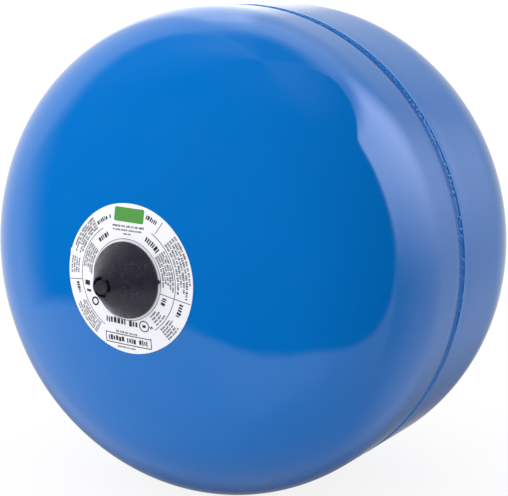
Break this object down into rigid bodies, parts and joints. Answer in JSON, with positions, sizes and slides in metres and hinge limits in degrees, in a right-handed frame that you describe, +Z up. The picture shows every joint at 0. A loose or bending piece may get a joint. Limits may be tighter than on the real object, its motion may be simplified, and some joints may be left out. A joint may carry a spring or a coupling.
{
  "type": "expansion vessel",
  "caption": "Small steel expansion vessel lying on its side: domed shells welded round the middle, gas valve under a cone cover, threaded pipe connection opposite.",
  "frame": {"origin": "centre of the pipe connection's sealing face", "axes": "+Y along the vessel's axis, out of the pipe connection, with the gas valve at the -Y end; +Z up with the label upright; +X to the right seen from the gas valve"},
  "size_m": [0.28, 0.294, 0.28],
  "materials": {
    "blue_paint": "gloss enamel over drawn steel",
    "black_plastic": "fine moulded grain",
    "label_film": "printed self-adhesive film",
    "zinc_steel": "zinc plated",
    "stainless": "bright",
    "brass": "turned",
    "black_rubber": "smooth",
    "butyl_rubber": "moulded, dusted",
    "white_plastic": "smooth"
  },
  "bodies": {
    "vessel": {"gas_side_shell": "blue_paint", "water_side_shell": "blue_paint", "seam_weld": "blue_paint", "rating_label": "label_film", "valve_stem": "brass", "valve_stem_gasket": "black_rubber", "valve_washer": "zinc_steel", "valve_nut": "zinc_steel", "core_plug": "brass", "core_barrel": "brass", "core_packing": "white_plastic", "core_spring": "stainless", "connection_nipple": "zinc_steel", "nipple_liner": "white_plastic", "nipple_weld": "blue_paint", "bladder": "butyl_rubber", "neck_crimp_ring": "stainless"},
    "cover": {"valve_cover": "black_plastic", "valve_cover_seal": "black_rubber"},
    "pin": {"core_pin": "brass", "core_plunger_seal": "black_rubber", "core_plunger_cup": "brass"}
  },
  "joints": [
    {"name": "cover_pull", "type": "slide", "parent": "vessel", "child": "cover", "axis": [0, -1, 0], "range_m": [0, 0.03]},
    {"name": "pin_press", "type": "slide", "parent": "vessel", "child": "pin", "axis": [0, 1, 0], "range_m": [0, 0.0015], "stiffness_N_per_m": 600, "springref_m": -0.002, "deforming": ["core_spring"]}
  ]
}
